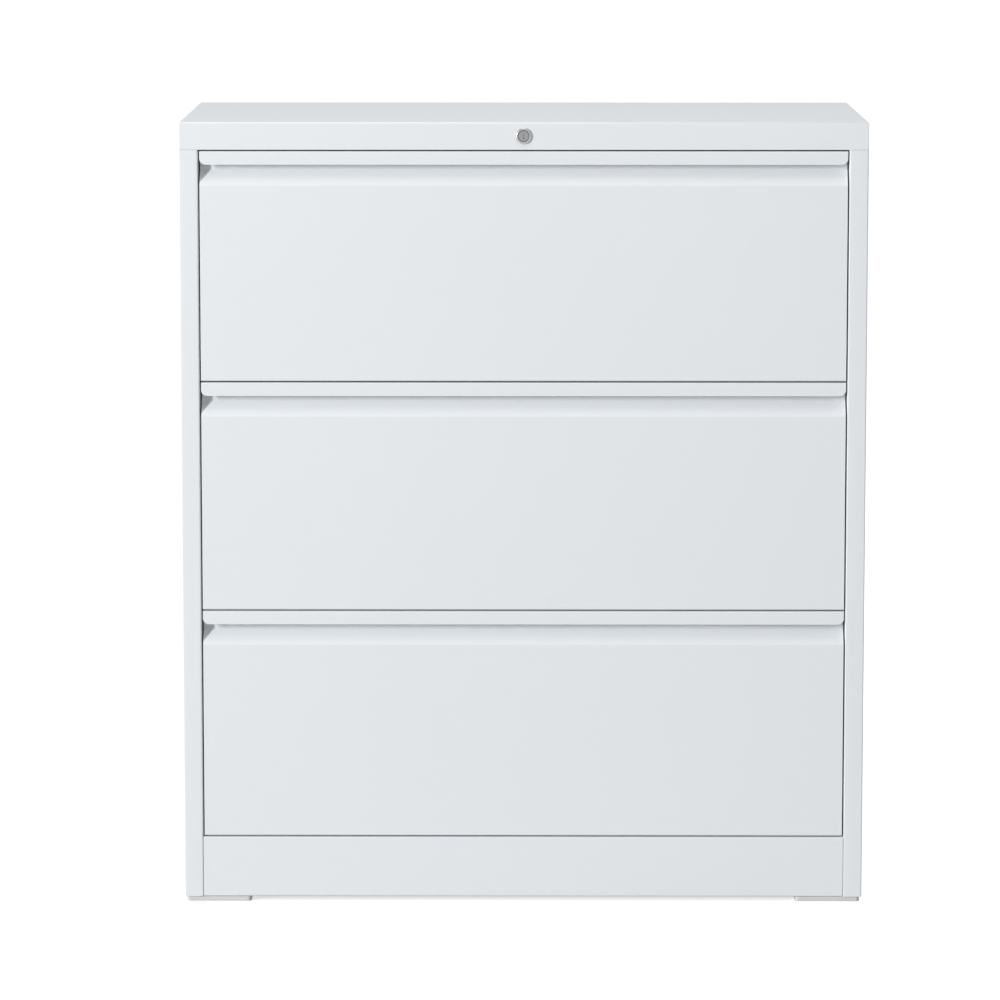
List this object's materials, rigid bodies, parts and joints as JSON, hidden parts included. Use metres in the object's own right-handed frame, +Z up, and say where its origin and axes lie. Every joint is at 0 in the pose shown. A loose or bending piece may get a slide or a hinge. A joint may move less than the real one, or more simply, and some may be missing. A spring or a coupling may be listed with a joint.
{
  "type": "lateral filing cabinet",
  "caption": "Wide, low steel filing cabinet with flush full-width drawers on telescopic slides, recessed pulls under folded lips, hanging-file rails and a key lock that bars every drawer.",
  "frame": {"origin": "on the floor under the middle of the case", "axes": "+X to the right seen from the front, +Y to the back, +Z up; the drawers open towards -Y"},
  "size_m": [0.9, 0.453, 1.036],
  "materials": {
    "powder_coat": "light grey-white powder coat, satin",
    "zinc_plate": "bright zinc plate",
    "lock_chrome": "bright chrome plate",
    "foot_plastic": "moulded light grey plastic"
  },
  "bodies": {
    "case": {"left_side_panel": "powder_coat", "right_side_panel": "powder_coat", "back_panel": "powder_coat", "top_panel": "powder_coat", "bottom_panel": "powder_coat", "kick_plate": "powder_coat", "left_rear_upright": "powder_coat", "right_rear_upright": "powder_coat", "front_left_foot": "foot_plastic", "front_right_foot": "foot_plastic", "rear_left_foot": "foot_plastic", "rear_right_foot": "foot_plastic", "lock_barrel": "lock_chrome", "lock_nut": "zinc_plate", "lower_left_slide_case_channel": "zinc_plate", "lower_right_slide_case_channel": "zinc_plate", "middle_left_slide_case_channel": "zinc_plate", "middle_right_slide_case_channel": "zinc_plate", "upper_left_slide_case_channel": "zinc_plate", "upper_right_slide_case_channel": "zinc_plate"},
    "lower_drawer": {"lower_drawer_front": "powder_coat", "lower_drawer_inner_panel": "powder_coat", "lower_drawer_left_side": "powder_coat", "lower_drawer_right_side": "powder_coat", "lower_drawer_back": "powder_coat", "lower_drawer_floor": "powder_coat", "lower_drawer_left_hanging_rail": "zinc_plate", "lower_drawer_right_hanging_rail": "zinc_plate", "lower_left_slide_drawer_channel": "zinc_plate", "lower_right_slide_drawer_channel": "zinc_plate"},
    "lower_runners": {"lower_left_slide_middle_channel": "zinc_plate", "lower_right_slide_middle_channel": "zinc_plate"},
    "middle_drawer": {"middle_drawer_front": "powder_coat", "middle_drawer_inner_panel": "powder_coat", "middle_drawer_left_side": "powder_coat", "middle_drawer_right_side": "powder_coat", "middle_drawer_back": "powder_coat", "middle_drawer_floor": "powder_coat", "middle_drawer_left_hanging_rail": "zinc_plate", "middle_drawer_right_hanging_rail": "zinc_plate", "middle_left_slide_drawer_channel": "zinc_plate", "middle_right_slide_drawer_channel": "zinc_plate"},
    "middle_runners": {"middle_left_slide_middle_channel": "zinc_plate", "middle_right_slide_middle_channel": "zinc_plate"},
    "upper_drawer": {"upper_drawer_front": "powder_coat", "upper_drawer_inner_panel": "powder_coat", "upper_drawer_left_side": "powder_coat", "upper_drawer_right_side": "powder_coat", "upper_drawer_back": "powder_coat", "upper_drawer_floor": "powder_coat", "upper_drawer_left_hanging_rail": "zinc_plate", "upper_drawer_right_hanging_rail": "zinc_plate", "upper_left_slide_drawer_channel": "zinc_plate", "upper_right_slide_drawer_channel": "zinc_plate"},
    "upper_runners": {"upper_left_slide_middle_channel": "zinc_plate", "upper_right_slide_middle_channel": "zinc_plate"},
    "lock_cylinder": {"lock_plug": "lock_chrome", "lock_cam": "zinc_plate"},
    "link": {"lock_link": "zinc_plate"},
    "bar": {"lock_bar": "zinc_plate"}
  },
  "joints": [
    {"name": "lower_drawer_slide", "type": "slide", "parent": "case", "child": "lower_drawer", "axis": [0, -1, 0], "range_m": [0, 0.4]},
    {"name": "lower_runner_slide", "type": "slide", "parent": "case", "child": "lower_runners", "axis": [0, -1, 0], "range_m": [0, 0.2]},
    {"name": "middle_drawer_slide", "type": "slide", "parent": "case", "child": "middle_drawer", "axis": [0, -1, 0], "range_m": [0, 0.4]},
    {"name": "middle_runner_slide", "type": "slide", "parent": "case", "child": "middle_runners", "axis": [0, -1, 0], "range_m": [0, 0.2]},
    {"name": "upper_drawer_slide", "type": "slide", "parent": "case", "child": "upper_drawer", "axis": [0, -1, 0], "range_m": [0, 0.4]},
    {"name": "upper_runner_slide", "type": "slide", "parent": "case", "child": "upper_runners", "axis": [0, -1, 0], "range_m": [0, 0.2]},
    {"name": "lock_turn", "type": "hinge", "parent": "case", "child": "lock_cylinder", "pos_m": [0, -0.225, 1.018], "axis": [0, 1, 0], "range_deg": [0, 90]},
    {"name": "link_slide", "type": "slide", "parent": "case", "child": "link", "axis": [-1, 0, 0], "range_m": [0, 0.0099]},
    {"name": "bar_lift", "type": "slide", "parent": "case", "child": "bar", "axis": [0, 0, 1], "range_m": [0, 0.0099]}
  ],
  "couplings": [
    {"joint": "lower_runner_slide", "follows": "lower_drawer_slide", "ratio": 0.5},
    {"joint": "middle_runner_slide", "follows": "middle_drawer_slide", "ratio": 0.5},
    {"joint": "upper_runner_slide", "follows": "upper_drawer_slide", "ratio": 0.5},
    {"joint": "lock_turn", "follows": "bar_lift", "rad_per_m": 158.66},
    {"joint": "link_slide", "follows": "bar_lift", "ratio": 1}
  ]
}
